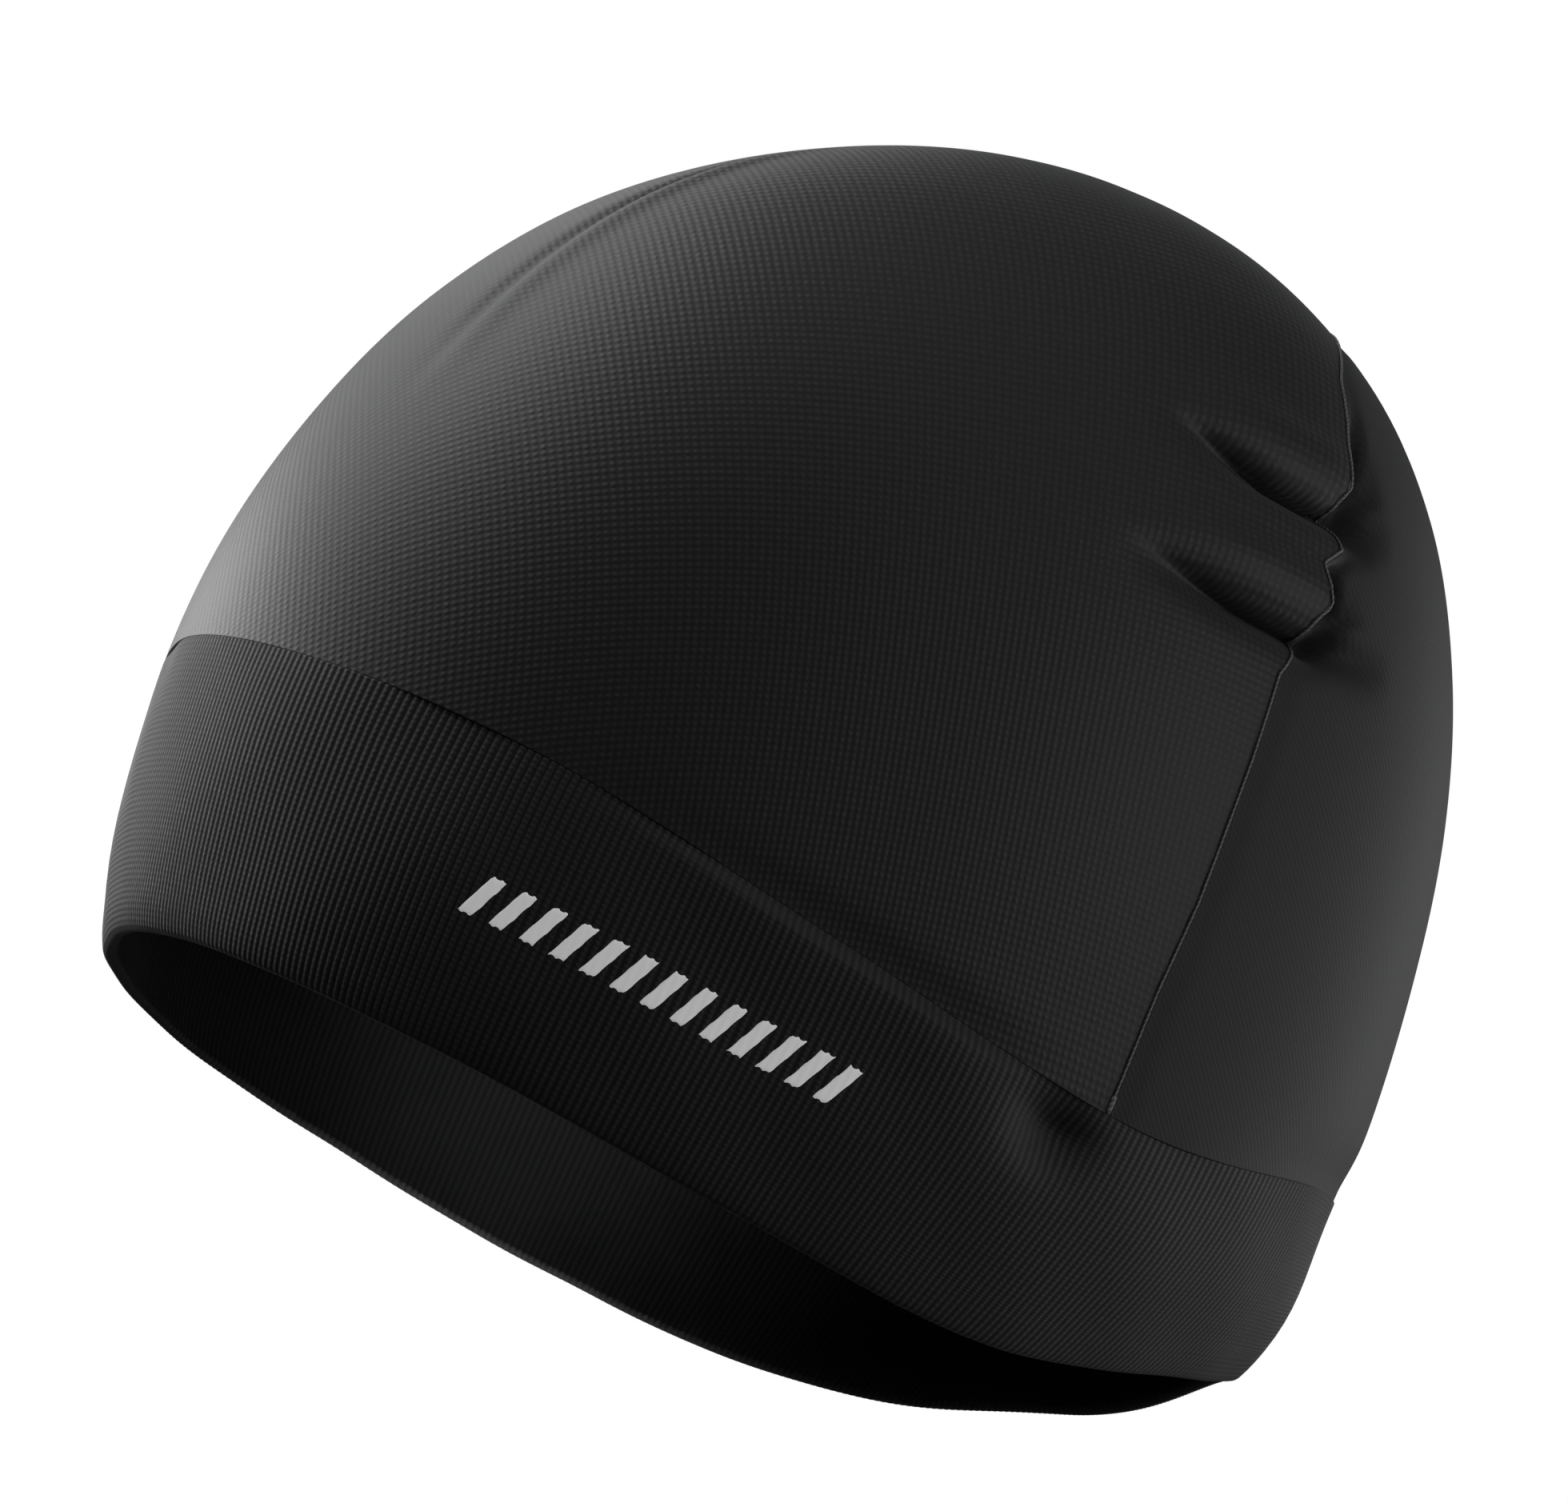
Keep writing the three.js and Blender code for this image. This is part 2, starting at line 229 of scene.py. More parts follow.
def form_point(azimuth, place):
    """A point of the worn form."""
    height, front, back, side = np.moveaxis(catmull(PADDED, place), -1, 0)
    angle = np.radians(azimuth)
    ahead = np.cos(angle)
    aside = np.sin(angle)
    size = (np.abs(ahead) ** PLAN_POWER + np.abs(aside) ** PLAN_POWER) ** (-1 / PLAN_POWER)
    half = (front + back) / 2
    centre = (back - front) / 2
    return np.stack([side * size * aside, centre - half * size * ahead, height], -1)


def form_normal(azimuth, place):
    turn = 0.4
    step = 0.01
    along = form_point(azimuth + turn, place) - form_point(azimuth - turn, place)
    up = form_point(azimuth, place + step) - form_point(azimuth, place - step)
    normal = np.cross(along, up)
    length = np.linalg.norm(normal, axis=-1, keepdims=True)
    flat_top = length < 1e-9
    return np.where(flat_top, [0, 0, 1], normal / np.where(flat_top, 1, length))


def raised(azimuth, place, out):
    out = np.asarray(out, float)
    return form_point(azimuth, place) + form_normal(azimuth, place) * out[..., None]


def turned(azimuth):
    """The azimuth folded to 0 to 180, the same on both sides."""
    return np.degrees(np.arccos(np.cos(np.radians(azimuth))))


def edge_height(azimuth, table):
    padded = [table[1], *table, table[-2]]
    return catmull(padded, turned(azimuth) / EDGE_STEP)


def seam_reach(height):
    return np.interp(height, [row[0] for row in BACK_SEAM], [row[1] for row in BACK_SEAM])


def bell(x, width):
    return np.exp(-((x / width) ** 2))


def ramp(x, start, end):
    share = np.clip((x - start) / (end - start), 0, 1)
    return share * share * (3 - 2 * share)


def pleat_lines(azimuth, height, table, flare=VALLEY_FLARE):
    round_to = turned(azimuth)
    along = ramp(round_to, PLEAT_START, PLEAT_FULL) * (1 - ramp(round_to, PLEAT_FADE, PLEAT_END))
    forward = np.clip((PLEAT_FULL - round_to) / (PLEAT_FULL - PLEAT_START), 0, 1)
    lifts = 0
    for line, rise, lift, width in table:
        over = height - line - rise * forward
        below = flare if lift < 0 else 1
        lifts = lifts + lift * bell(over, width * np.where(over < 0, below, 1))
    return along * lifts


def fold_down(azimuth, height):
    """How far the cloth over each valley sags down over it."""
    lips = [(line + FOLD["over"], rise, -FOLD["down"], FOLD["width"]) for line, rise, _, _ in VALLEYS]
    return pleat_lines(azimuth, height, lips, 1)


def crease_lift(azimuth, height):
    fade = 1 - ramp(height, CREASE["fade"], CREASE["to"])
    groove = -CREASE["depth"] * bell(azimuth - CREASE["azimuth"], CREASE["width"])
    lip = CREASE["rise"] * bell(azimuth - CREASE["lip"], CREASE["lip_width"])
    return fade * ramp(height, CREASE["from"], CREASE["full"]) * (groove + lip)


def ridge_share(azimuth):
    round_to = turned(azimuth)
    return ramp(round_to, RIDGE["from"], RIDGE["full"]) * (1 - ramp(round_to, RIDGE["fade"], RIDGE["to"]))


def crown_lift(azimuth, height, above):
    """How far the crown panel stands off the worn form. above is the height over the band's top edge."""
    groove = -RIDGE["groove"] * ridge_share(azimuth) * bell(above, RIDGE["groove_above"])
    return pleat_lines(azimuth, height, VALLEYS + BEAKS) + crease_lift(azimuth, height) + groove


def back_lift(azimuth, height, above, from_edge):
    """The same of the back panel. from_edge is the distance from its own edge, under the crown panel."""
    behind = from_edge - SEAM_OVERLAP
    let_in = BACK_EDGE["let_in"] * (1 - ramp(behind, 0, BACK_EDGE["level"]))
    tucked = BACK_EDGE["tucked"] * ramp(-behind, -0.1, SEAM_OVERLAP)
    beaks = pleat_lines(azimuth, height, BEAKS) * (1 - ramp(behind, 0, BACK_EDGE["off_beaks"]))
    at_back = ramp(turned(azimuth), BACK_DRAW["from"], BACK_DRAW["full"])
    drawn_in = BACK_DRAW["depth"] * bell(above, BACK_DRAW["width"]) * at_back
    pockets = sum(depth * bell(height - middle, half) * bell(behind - reach, width)
                  for middle, half, depth, reach, width in POCKETS)
    pockets = pockets * ramp(behind, BACK_EDGE["pocket_from"], BACK_EDGE["pocket_full"])
    return pleat_lines(azimuth, height, VALLEYS) - let_in - tucked + beaks - drawn_in + pockets


def round_off(distance, radius):
    """How far a rounded edge has dropped at a distance from it, from radius at the edge to nothing."""
    share = np.clip(1 - distance / radius, 0, 1)
    return radius * (1 - np.sqrt(np.maximum(0, 1 - share * share)))


def make_mesh(name, points, faces, material, smooth=True):
    """A mesh object from points in millimetres in head heights."""
    mesh = bpy.data.meshes.new(name)
    placed = (np.asarray(points, float) + [0, -TOP_BACK, CLOTH - TOP_HEIGHT]) * MM
    mesh.from_pydata(placed.tolist(), [], [list(face) for face in faces])
    mesh.validate()
    mesh.materials.append(material)
    mesh.polygons.foreach_set("use_smooth", [smooth] * len(mesh.polygons))
    mesh.update()
    thing = bpy.data.objects.new(name, mesh)
    bpy.context.scene.collection.objects.link(thing)
    return thing


def clean_faces(quads):
    """Quads as lists, with those that have a repeated corner turned into triangles or left out."""
    quads = np.asarray(quads)
    repeats = (quads == np.roll(quads, 1, axis=1)).any(axis=1) | (quads[:, 0] == quads[:, 2])
    repeats |= quads[:, 1] == quads[:, 3]
    faces = quads[~repeats].tolist()
    for quad in quads[repeats]:
        corners = list(dict.fromkeys(quad.tolist()))
        if len(corners) == 3:
            faces.append(corners)
    return faces


# The corners of a grid's quad that is turned round: steps down the rows and along the columns.
TURNED_CORNERS = [(1, 0), (1, 1), (0, 1), (0, 0)]


def grid_quads(ids):
    """Quads over a grid of vertex numbers, facing along columns x rows."""
    corners = [ids[:-1, :-1], ids[:-1, 1:], ids[1:, 1:], ids[1:, :-1]]
    return np.stack([corner.ravel() for corner in corners], axis=1)


def stitch_uv(thing):
    """Lays a net of nearly square stitches over each half of the cap, spread from the middle of a side."""
    mesh = thing.data
    points = np.zeros(len(mesh.vertices) * 3)
    mesh.vertices.foreach_get("co", points)
    points = points.reshape(-1, 3) / MM - [0, -TOP_BACK, CLOTH - TOP_HEIGHT] - KNIT_CENTRE
    corner = np.zeros(len(mesh.loops), int)
    mesh.loops.foreach_get("vertex_index", corner)
    points = np.abs(points[corner] * [1, 0, 0]) + points[corner] * [0, 1, 1]
    points /= np.linalg.norm(points, axis=1, keepdims=True)
    round_to, rise = np.radians(KNIT_MIDDLE)
    middle = np.array([np.sin(round_to) * np.cos(rise), -np.cos(round_to) * np.cos(rise), np.sin(rise)])
    right = np.array([np.cos(round_to), np.sin(round_to), 0])
    upward = np.cross(middle, right)
    away = np.arccos(np.clip(points @ middle, -1, 1))
    spread = KNIT_CELLS * away / np.maximum(np.sin(away), 1e-6)
    across = spread * (points @ right)
    along = spread * (points @ upward)
    lean = np.array([[np.cos(KNIT_LEAN), np.sin(KNIT_LEAN)], [-np.sin(KNIT_LEAN), np.cos(KNIT_LEAN)]])
    uv = np.stack([across, along], axis=1) @ lean
    layer = mesh.uv_layers.new(name="stitches")
    layer.data.foreach_set("uv", uv.ravel())


def panel_rows(arch, level_step, arch_steps, top_places):
    """Rows of a panel: a level, the share of the way up to it from the band's edge, and a further rise."""
    foot = [(SKIRT_LEVEL, 0, rise) for rise in FOOT_RISES]
    skirt = [(SKIRT_LEVEL, share, 0) for share in np.linspace(0.1, 1, SKIRT_ROWS + 1)[:-1]]
    levels = [(level, 1, 0) for level in np.arange(SKIRT_LEVEL, ARCH_LEVEL + 0.01, level_step)]
    closing = arch + (ARCH_LEVEL - arch) * (1 - np.arange(1, arch_steps + 1) / arch_steps) ** 2
    tops = catmull(PADDED, top_places)[:, 0] if len(top_places) else []
    return np.array([*foot, *skirt, *levels, *[(level, 1, 0) for level in [*closing, *tops]]])


def row_height(azimuth, level, share, rise):
    return level + (1 - share) * (edge_height(azimuth, BAND_TOP) + JOIN_GAP - level) + rise


def seam_azimuth(rows_at, margin):
    """The azimuth at which each row meets the back seam, moved back by a margin, found by halving."""
    level, share, rise = rows_at.T
    low = np.full(level.shape, 90.0)
    high = np.full(level.shape, 180.0)
    for _ in range(36):
        middle = (low + high) / 2
        height = row_height(middle, level, share, rise)
        before = form_point(middle, place_of(height))[..., 1] < seam_reach(height) + margin
        low = np.where(before, middle, low)
        high = np.where(before, high, middle)
    return (low + high) / 2


def arch_top(margin):
    """The height at which the seam, moved back by a margin, crosses the middle of the back."""
    heights = np.linspace(ARCH_LEVEL + 1, TOP_HEIGHT - 1, 4001)
    ends = form_point(np.full(heights.shape, 180.0), place_of(heights))[:, 1]
    return heights[np.argmax(ends < seam_reach(heights) + margin)]


def shell(name, azimuth, rows_at, lift_of, rings_from, margin, material):
    """A panel of cloth, from a grid of azimuths and the rows that they lie on. Its lower edge is rounded.

    Rows from rings_from on go all the way round, and the last of them is the pole. The seam edge of such a
    panel is thinned, because it lies on the other panel."""
    level, share, rise = (rows_at[:, [i]] for i in range(3))
    height = row_height(azimuth, level, share, rise)
    place = place_of(height)
    above = height - edge_height(azimuth, BAND_TOP) - JOIN_GAP
    point = form_point(azimuth, place)
    normal = form_normal(azimuth, place)
    fall = np.sqrt(np.maximum(0.05, 1 - normal[..., 1] ** 2))
    inside = (seam_reach(height) + margin - point[..., 1]) / fall
    lift = lift_of(azimuth, height, above, -inside)
    slid = place_of(height + fold_down(azimuth, height) * (1 - ramp(-inside, FOLD["fade"], FOLD["gone"])))
    point = form_point(azimuth, slid)
    normal = form_normal(azimuth, slid)
    at_foot = round_off(np.maximum(above, 0), FOOT_RADIUS)
    if rings_from is None:
        outer_drop, inner_drop = at_foot, at_foot
    else:
        near = np.maximum(inside, 0)
        outer_thinning = EDGE_THINNING["outer"] * (1 - ramp(near, 0, EDGE_THINNING["outer_reach"]))
        inner_thinning = EDGE_THINNING["inner"] * (1 - ramp(near, 0, EDGE_THINNING["inner_reach"]))
        outer_drop = np.maximum(at_foot, outer_thinning)
        inner_drop = np.maximum(at_foot, inner_thinning)
    outer = point + normal * (lift - outer_drop)[..., None]
    inner = point + normal * (lift - CLOTH + inner_drop)[..., None]
    rows, columns = azimuth.shape
    outer_id = np.arange(rows * columns).reshape(rows, columns)
    inner_id = outer_id + rows * columns
    side_rows = rows if rings_from is None else rings_from + 1
    for ids in (outer_id, inner_id):
        if rings_from is not None:
            ids[rings_from:, -1] = ids[rings_from:, 0]
        ids[-1, :] = ids[-1, 0]
    inner_id[0] = outer_id[0]
    inner_id[:side_rows, 0] = outer_id[:side_rows, 0]
    inner_id[:side_rows, -1] = outer_id[:side_rows, -1]
    middle = (outer + inner) / 2
    outer[0] = middle[0]
    outer[:side_rows, 0] = middle[:side_rows, 0]
    outer[:side_rows, -1] = middle[:side_rows, -1]
    faces = clean_faces(np.vstack([grid_quads(outer_id), grid_quads(inner_id)[:, ::-1]]))
    points = np.vstack([outer.reshape(-1, 3), inner.reshape(-1, 3)])
    used = np.unique(np.concatenate([np.asarray(face) for face in faces]))
    number = np.full(len(points), -1)
    number[used] = np.arange(len(used))
    faces = [number[face].tolist() for face in faces]
    thing = make_mesh(name, points[used], faces, material)
    stitch_uv(thing)
    return thing


def spread_columns(columns, edge):
    """Columns that keep their azimuth up to the hinge and then spread until the last one is at the edge."""
    share = np.maximum(0, (columns - COLUMN_HINGE) / (LAST_COLUMN - COLUMN_HINGE))
    return columns[None, :] + (edge[:, None] - LAST_COLUMN) * share[None, :] ** 1.5


def crown_columns():
    """Columns of the left and the right half, close together at the crease and at the edge."""
    near_edge = LAST_COLUMN - EDGE_COLUMNS
    plain = np.arange(0, LAST_COLUMN - 1, 1.0)
    dense = np.arange(CREASE_COLUMNS["from"], CREASE_COLUMNS["to"], CREASE_COLUMNS["step"])
    before = plain[plain < CREASE_COLUMNS["from"] - 0.5]
    after = plain[plain > CREASE_COLUMNS["to"]]
    left = np.concatenate([before, dense, after, near_edge])
    right = np.concatenate([plain, near_edge])
    return left, right


def new_node(tree, kind, inputs=None, **settings):
    node = tree.nodes.new(kind)
    for key, value in settings.items():
        setattr(node, key, value)
    for key, value in (inputs or {}).items():
        if isinstance(value, bpy.types.NodeSocket):
            tree.links.new(value, node.inputs[key])
        else:
            node.inputs[key].default_value = value
    return node


def math_node(tree, operation, first, second=None, third=None):
    inputs = {0: first}
    if second is not None:
        inputs[1] = second
    if third is not None:
        inputs[2] = third
    return new_node(tree, "ShaderNodeMath", inputs, operation=operation).outputs[0]


def wave(tree, turns):
    """A wave from 0 to 1 with one crest for each turn."""
    angle = math_node(tree, "MULTIPLY", turns, 2 * math.pi)
    return math_node(tree, "MULTIPLY_ADD", math_node(tree, "COSINE", angle), -0.5, 0.5)


def start_material(name, roughness, specular, sheen, sheen_tint):
    material = bpy.data.materials.new(name)
    material.use_nodes = True
    tree = material.node_tree
    shader = tree.nodes["Principled BSDF"]
    shader.inputs["Roughness"].default_value = roughness
    shader.inputs["Specular IOR Level"].default_value = specular
    shader.inputs["Sheen Weight"].default_value = sheen
    shader.inputs["Sheen Roughness"].default_value = 0.45
    shader.inputs["Sheen Tint"].default_value = (*sheen_tint, 1)
    return material, tree, shader


def coordinates(tree, layer):
    source = new_node(tree, "ShaderNodeUVMap", uv_map=layer)
    parts = new_node(tree, "ShaderNodeSeparateXYZ", {0: source.outputs[0]})
    return parts.outputs[0], parts.outputs[1]


def soft_patches(tree, scale, low, high):
    """Slow variation of the dye and the pile, as a factor round 1."""
    place = new_node(tree, "ShaderNodeTexCoord").outputs["Object"]
    inputs = {"Vector": place, "Scale": scale, "Detail": 2.0, "Roughness": 0.5}
    noise = new_node(tree, "ShaderNodeTexNoise", inputs).outputs[0]
    return new_node(tree, "ShaderNodeMapRange", {0: noise, 1: 0.3, 2: 0.7, 3: low, 4: high}).outputs[0]


def finish_material(tree, shader, factor, dark, light, height, strength, distance):
    colour = new_node(tree, "ShaderNodeMix", {0: factor}, data_type="RGBA", clamp_factor=True)
    colour.inputs[6].default_value = (*dark, 1)
    colour.inputs[7].default_value = (*light, 1)
    tree.links.new(colour.outputs[2], shader.inputs["Base Color"])
    bump = new_node(tree, "ShaderNodeBump", {"Strength": strength, "Distance": distance, "Height": height})
    tree.links.new(bump.outputs[0], shader.inputs["Normal"])


def crown_material():
    """Stretch knit: a fine square net of loops, the wales a little stronger than the courses."""
    material, tree, shader = start_material("crown_stretch_knit", 0.56, 0.5, 0.14, SHEEN_TINT)
    across, upward = coordinates(tree, "stitches")
    wale = wave(tree, across)
    course = wave(tree, upward)
    loop = math_node(tree, "MULTIPLY", wale, course)
    both = math_node(tree, "MULTIPLY_ADD", wale, 0.3, math_node(tree, "MULTIPLY", course, 0.2))
    even = math_node(tree, "MULTIPLY_ADD", loop, 0.5, both)
    height = math_node(tree, "MULTIPLY", even, soft_patches(tree, 900, 0.6, 1.0))
    factor = math_node(tree, "MULTIPLY", height, soft_patches(tree, 18, 0.85, 1.0))
    dark = (0.018, 0.0183, 0.0188)
    light = (0.049, 0.0498, 0.0512)
    finish_material(tree, shader, factor, dark, light, height, 0.42, 0.0002)
    return material


def jersey_material():
    """Smooth jersey: fine slanting lines that hardly show."""
    material, tree, shader = start_material("back_jersey", 0.65, 0.35, 0.10, SHEEN_TINT)
    across, upward = coordinates(tree, "stitches")
    line = wave(tree, math_node(tree, "ADD", across, upward))
    fine = wave(tree, math_node(tree, "MULTIPLY", across, 2.0))
    height = math_node(tree, "MULTIPLY_ADD", line, 0.6, math_node(tree, "MULTIPLY", fine, 0.4))
    factor = math_node(tree, "MULTIPLY", height, soft_patches(tree, 15, 0.85, 1.0))
    dark = (0.027, 0.0274, 0.0281)
    light = (0.038, 0.0386, 0.0395)
    finish_material(tree, shader, factor, dark, light, height, 0.22, 0.00015)
    return material


def rib_material():
    """Rib knit: the ribs are modelled, and each has its loops. The colour is darker in the grooves, which is
    painted shade.
    """
    material, tree, shader = start_material("band_rib_knit", 0.66, 0.45, 0.18, SHEEN_TINT)
    across, upward = coordinates(tree, "ribs")
    rib = wave(tree, across)
    loop = wave(tree, upward)
    height = math_node(tree, "MULTIPLY", loop, rib)
    # Painted shade: the colour darkens in the grooves between the ribs.
    shade = math_node(tree, "MULTIPLY_ADD", rib, 0.7, math_node(tree, "MULTIPLY", height, 0.3))
    factor = math_node(tree, "MULTIPLY", shade, soft_patches(tree, 20, 0.8, 1.0))
    dark = (0.021, 0.0213, 0.0219)
    light = (0.052, 0.0528, 0.0541)
    finish_material(tree, shader, factor, dark, light, height, 0.35, 0.00015)
    return material


def highlit_thread_material():
    """Seam thread: a twisted strand, smoother than the cloth. The stitching is real, but its grey is far
    lighter than the cloth, and that lightness is painted highlight for the light caught along the seam edge.
    """
    material, tree, shader = start_material("seam_thread", 0.55, 0.3, 0.0, (0.5, 0.5, 0.5))
    across, upward = coordinates(tree, "thread")
    ply = wave(tree, math_node(tree, "ADD", across, upward))
    # Painted highlight: the light grey stands for light caught along the crown panel's seam edge.
    finish_material(tree, shader, ply, (0.11, 0.1115, 0.114), (0.25, 0.253, 0.257), ply, 0.5, 0.0001)
    return material


def print_material():
    """Reflective ink: light grey, a little glossy. A faint glow stands for the light that it sends back."""
    material, tree, shader = start_material("reflective_print", 0.42, 0.5, 0.0, (1, 1, 1))
    shader.inputs["Emission Color"].default_value = (1, 1, 1, 1)
    shader.inputs["Emission Strength"].default_value = 0.3
    rib = wave(tree, coordinates(tree, "ribs")[0])
    place = new_node(tree, "ShaderNodeTexCoord").outputs["Object"]
    inputs = {"Vector": place, "Scale": 4000.0, "Detail": 1.0}
    grain = new_node(tree, "ShaderNodeTexNoise", inputs).outputs[0]
    factor = math_node(tree, "MULTIPLY_ADD", rib, 0.5, math_node(tree, "MULTIPLY", grain, 0.5))
    finish_material(tree, shader, factor, (0.72, 0.72, 0.73), (0.88, 0.88, 0.89), grain, 0.15, 0.00005)
    return material


def build_crown(material):
    arch = arch_top(0)
    top_places = np.linspace(place_of(arch), TOP_PLACE, CROWN_TOP_ROWS + 1)[1:]
    near_arch = place_of(arch) + NEAR_ARCH
    top_places = np.concatenate([near_arch, top_places[top_places > near_arch[-1] + 0.02]])
    rows_at = panel_rows(arch, ROW_STEP, CROWN_ARCH_ROWS, top_places)
    ring = len(rows_at) - len(top_places) - 1
    edge = np.full(len(rows_at), 180.0)
    edge[:ring] = seam_azimuth(rows_at[:ring], 0)
    left, right = crown_columns()
    azimuth = np.hstack([-spread_columns(right, edge)[:, :0:-1], spread_columns(left, edge)])

    def lift_of(azimuth, height, above, _):
        return crown_lift(azimuth, height, above)

    return shell("crown_knit_panel", azimuth, rows_at, lift_of, ring, 0, material)


def build_back(material):
    arch = arch_top(-SEAM_OVERLAP)
    rows_at = panel_rows(arch, ROW_STEP, BACK_ARCH_ROWS, [])
    edge = np.full(len(rows_at), 180.0)
    edge[:-1] = seam_azimuth(rows_at[:-1], -SEAM_OVERLAP)
    even = np.linspace(0, 1, BACK_COLUMNS + 1)
    across = 0.4 * even + 0.3 * (1 - np.cos(np.pi * even))
    azimuth = edge[:, None] + (360 - 2 * edge)[:, None] * across[None, :]
    return shell("back_jersey_panel", azimuth, rows_at, back_lift, None, -SEAM_OVERLAP, material)


def band_section():
    """The band's section down the outside, round the fold, up the inside and over the tongue that lies
    inside the panels' lower edges. Each row has the share of the band's height, a further height, how far
    it stands out from the worn form, and the rib's share of its depth, negative where it faces the head."""
    rows = [(1, 0, -0.35, 0.2), (1, -0.012, -0.08, 0.6), (1, -0.05, -0.02, 0.8), (1, -0.15, 0, 1)]
    shares = [*np.linspace(0.985, 0.925, 7), 0.91, 0.89, 0.87, *np.linspace(0.83, 0.21, 9)]
    rows += [(share, 0, 0, 1) for share in shares]
    rows += [(0, rise, 0, 1) for rise in (5.5, 4.2, 3.1, 2.2, 1.6)]
    fold = BAND_WALL / 2
    for angle in np.linspace(0, 180, 8):
        turn = math.radians(angle)
        rows.append((0, fold * (1 - math.sin(turn)), fold * (math.cos(turn) - 1), math.cos(turn)))
    rows += [(0, rise, -BAND_WALL, -1) for rise in (3, 5.5)]
    rows += [(share, 0, -BAND_WALL, -1) for share in (0.3, 0.55, 0.8)]
    rows += [(1, 0, -BAND_WALL, -0.8), (1, 2.2, -BAND_WALL - 0.15, -0.4), (1, 2.9, -BAND_WALL - 0.05, 0)]
    rows += [(1, 3.1, -BAND_WALL + 0.35, 0), (1, 2.9, -CLOTH - 0.12, 0), (1, 0.2, -CLOTH - 0.1, 0)]
    return np.array(rows)


def rim_height(azimuth):
    """The height of the rim, which hangs lower at the back and rises a little on the wearer's right."""
    depth, middle, width = BACK_SAG
    sag = RIM_SAG + depth * bell(turned(azimuth) - middle, width)
    for depth, middle, width in FAR_SAGS:
        sag = sag + depth * bell(azimuth % 360 - middle, width)
    return edge_height(azimuth, RIM) - sag


def curl_in(azimuth, rise):
    """How far the band's folded lower edge curls in towards the head, at a height above the rim."""
    at_back = ramp(turned(azimuth), CURL["from"], CURL["full"])
    curl = CURL["plain"] + (CURL["back"] - CURL["plain"]) * at_back
    return curl * (1 - ramp(rise, CURL["low"], CURL["high"])) ** 1.5


def back_tuck(azimuth, share):
    """How far the upper part of the band is drawn in at the back."""
    at_back = ramp(turned(azimuth), BACK_TUCK["from"], BACK_TUCK["full"])
    return BACK_TUCK["depth"] * at_back * bell(share - BACK_TUCK["share"], BACK_TUCK["width"])


def band_place(start_azimuth, share, further):
    """Azimuth and height of points of the band, whose ribs lean a little."""
    middle = (rim_height(start_azimuth) + edge_height(start_azimuth, BAND_TOP)) / 2
    place = place_of(middle)
    step = form_point(start_azimuth + 1, place) - form_point(start_azimuth - 1, place)
    across = np.linalg.norm(step, axis=-1)
    side = np.sign(np.sin(np.radians(start_azimuth)))
    lean = side * np.tan(np.radians(edge_height(start_azimuth, RIB_LEAN))) * 2 / across
    azimuth = start_azimuth
    for _ in range(4):
        rim = rim_height(azimuth)
        height = rim + (edge_height(azimuth, BAND_TOP) - rim) * share + further
        azimuth = start_azimuth + lean * (height - middle)
    return azimuth, height


def band_waves(azimuth, height):
    """Soft waves in the loosely stretched band, the same each time."""
    return sum(depth * np.sin(np.radians(azimuth * turns + phase) + height * rate)
               for depth, turns, phase, rate in WAVES)


def band_out(azimuth, height, out):
    """How far a point of the band stands off the worn form, with the ridge and the dimple outside."""
    rim = rim_height(azimuth)
    top = edge_height(azimuth, BAND_TOP)
    share = (height - rim) / (top - rim)
    under = share - RIDGE["share"]
    half = np.where(under < 0, RIDGE["half_below"], RIDGE["half_above"])
    ridge = RIDGE["rise"] * bell(under, half)
    groove = -RIDGE["groove"] * bell(np.minimum(height - top, 0), RIDGE["groove_below"])
    past = turned(azimuth) - DIMPLE["azimuth"]
    dimple = -DIMPLE["depth"] * bell(past, np.where(past < 0, DIMPLE["ahead"], DIMPLE["behind"]))
    dimple = dimple * bell(share - DIMPLE["share"], DIMPLE["reach"])
    outside = 1 - ramp(-out, 0.3, BAND_WALL)
    relief = (ridge * outside + groove) * ridge_share(azimuth) + dimple
    drawn_in = curl_in(azimuth, height - rim) + back_tuck(azimuth, share)
    return out + relief + band_waves(azimuth, height) - drawn_in


def rib_profile(turns):
    return np.abs(np.sin(np.pi * turns)) ** 0.8


def run_along(path):
    """The distance along a path at each of its points."""
    steps = np.linalg.norm(np.diff(path, axis=0), axis=1)
    return np.concatenate([[0], np.cumsum(steps)])


def build_band(material):
    section = band_section()
    count = RIBS * RIB_COLUMNS
    turns = np.arange(count) / RIB_COLUMNS
    start = np.broadcast_to(turns * 360 / RIBS, (len(section), count))
    share, further, out, rib_part = (section[:, [i]] for i in range(4))
    azimuth, height = band_place(start, share, further)
    out = band_out(azimuth, height, out) - RIB_DEPTH * rib_part * (1 - rib_profile(turns)[None, :])
    points = raised(azimuth, place_of(height), out)
    ids = np.arange(points.shape[0] * count).reshape(-1, count)
    ids = np.vstack([ids, ids[:1]])
    ids = np.hstack([ids, ids[:, :1]])
    faces = grid_quads(ids)[:, ::-1].tolist()
    thing = make_mesh("band_rib", points.reshape(-1, 3), faces, material)
    run = run_along(points[:, 0])
    run = np.append(run, run[-1] + 1)
    u = np.arange(count + 1) / RIB_COLUMNS
    grid = np.stack(np.broadcast_arrays(u[None, :], run[:, None] / LOOP_HEIGHT), axis=-1)
    row, column = np.divmod(np.arange(len(section) * count), count)
    uv = np.stack([grid[row + down, column + right] for down, right in TURNED_CORNERS], axis=1)
    layer = thing.data.uv_layers.new(name="ribs")
    layer.data.foreach_set("uv", uv.ravel())
    return thing


def resample(path, step):
    """Points an even step apart along a path."""
    run = run_along(path)
    places = np.linspace(0, run[-1], int(run[-1] / step) + 1)
    return np.stack([np.interp(places, run, path[:, i]) for i in range(3)], axis=1)


